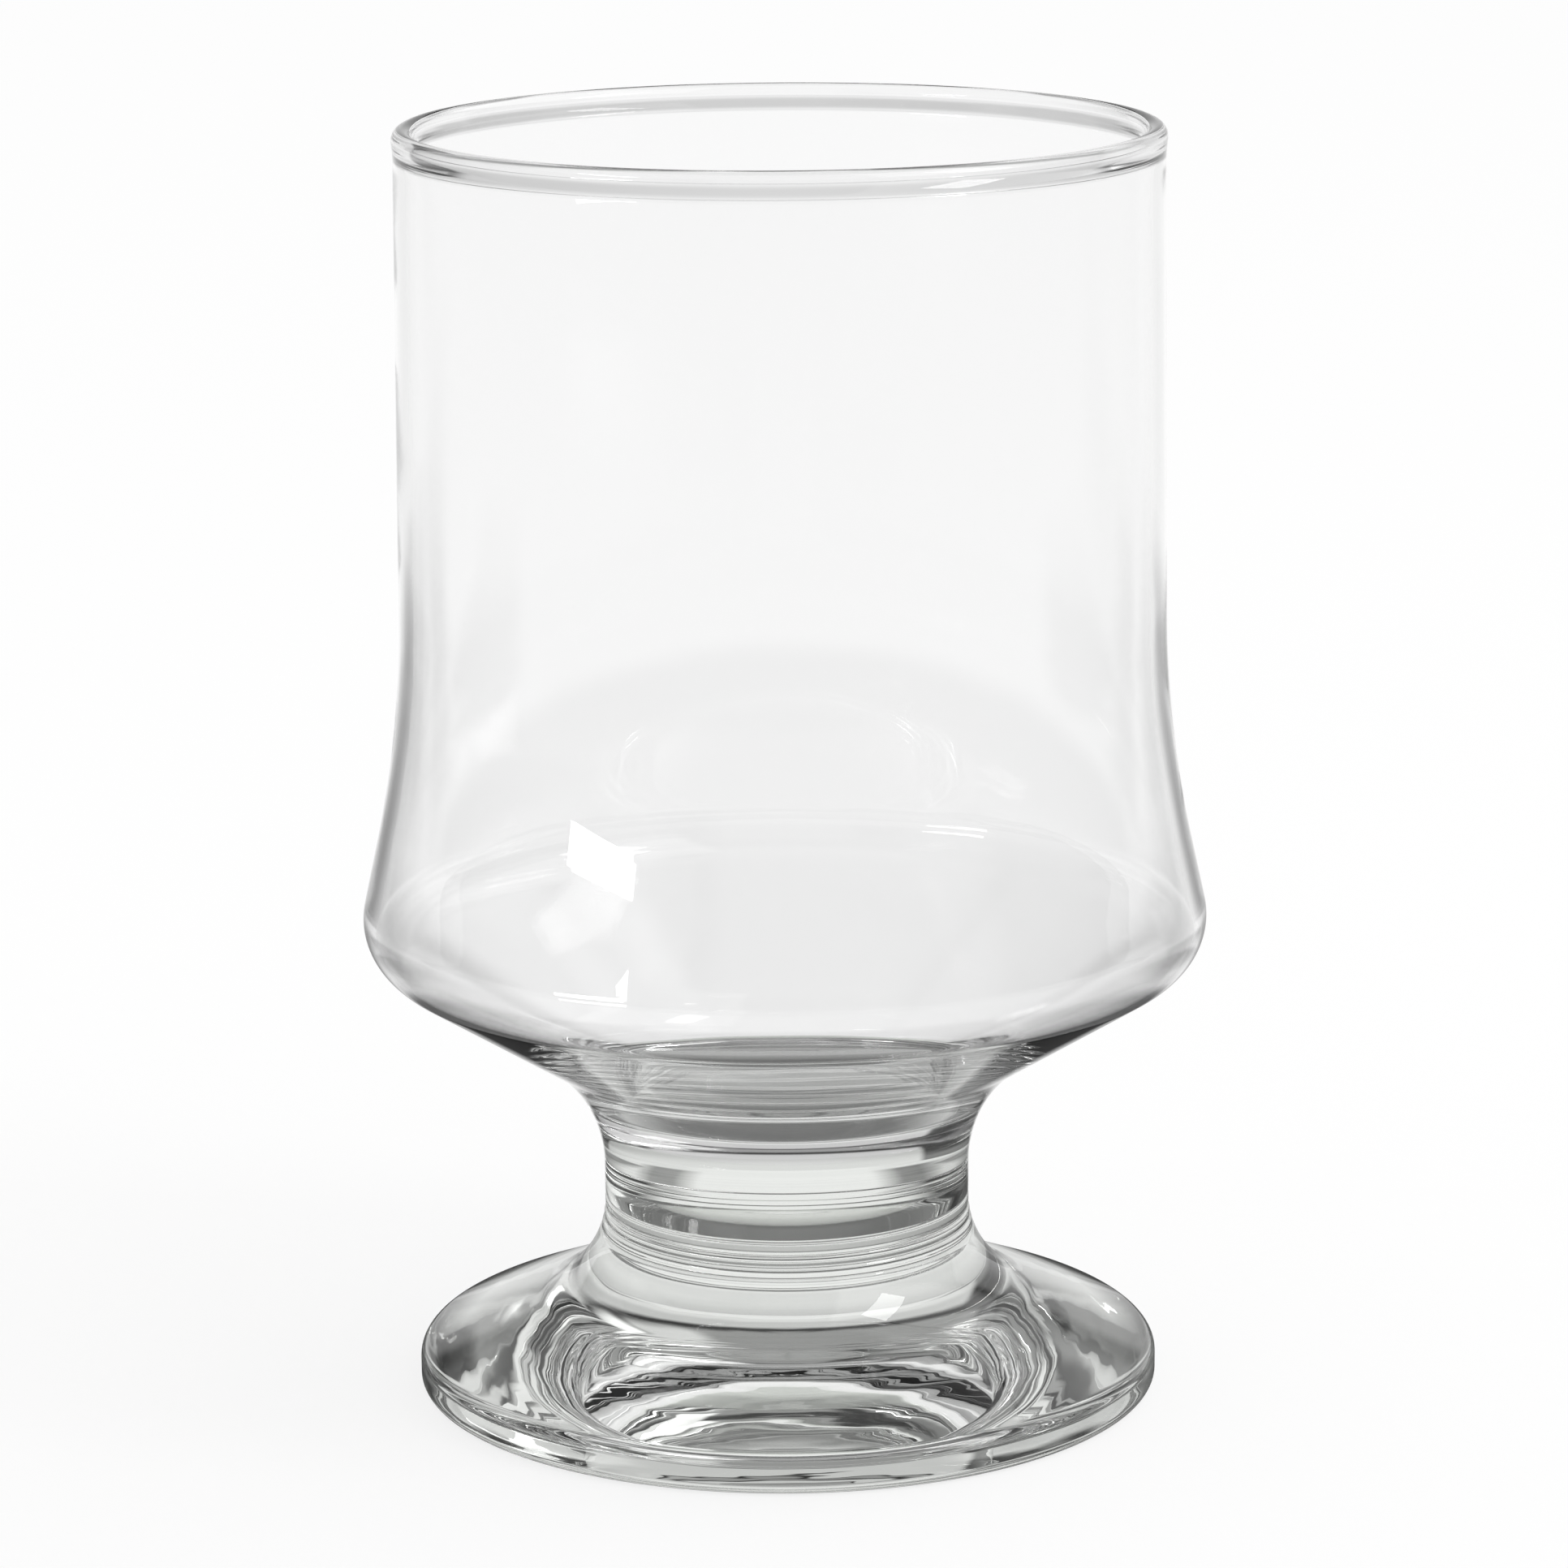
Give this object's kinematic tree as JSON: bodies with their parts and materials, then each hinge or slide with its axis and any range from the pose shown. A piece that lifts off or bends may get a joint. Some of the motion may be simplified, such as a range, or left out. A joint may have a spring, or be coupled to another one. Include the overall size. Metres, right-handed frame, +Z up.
{
  "type": "footed goblet",
  "caption": "Clear footed drinking glass with an upright bowl that flares to a low rounded belly, a short solid stem and a broad sloping foot.",
  "frame": {"origin": "middle of the flat ring under the foot, in the plane that the glass stands on", "axes": "+Z up along the axis that every piece is turned about; +X and +Y are alike, and +Y points away from the viewer of the picture"},
  "size_m": [0.0804, 0.0804, 0.1215],
  "materials": {
    "bowl_glass": "blown, fire-polished, clear",
    "stem_glass": "drawn hot, clear, faint ring marks",
    "foot_glass": "pressed, fire-polished, clear"
  },
  "bodies": {
    "root": {"bowl": "bowl_glass", "stem": "stem_glass", "foot": "foot_glass"}
  },
  "joints": []
}
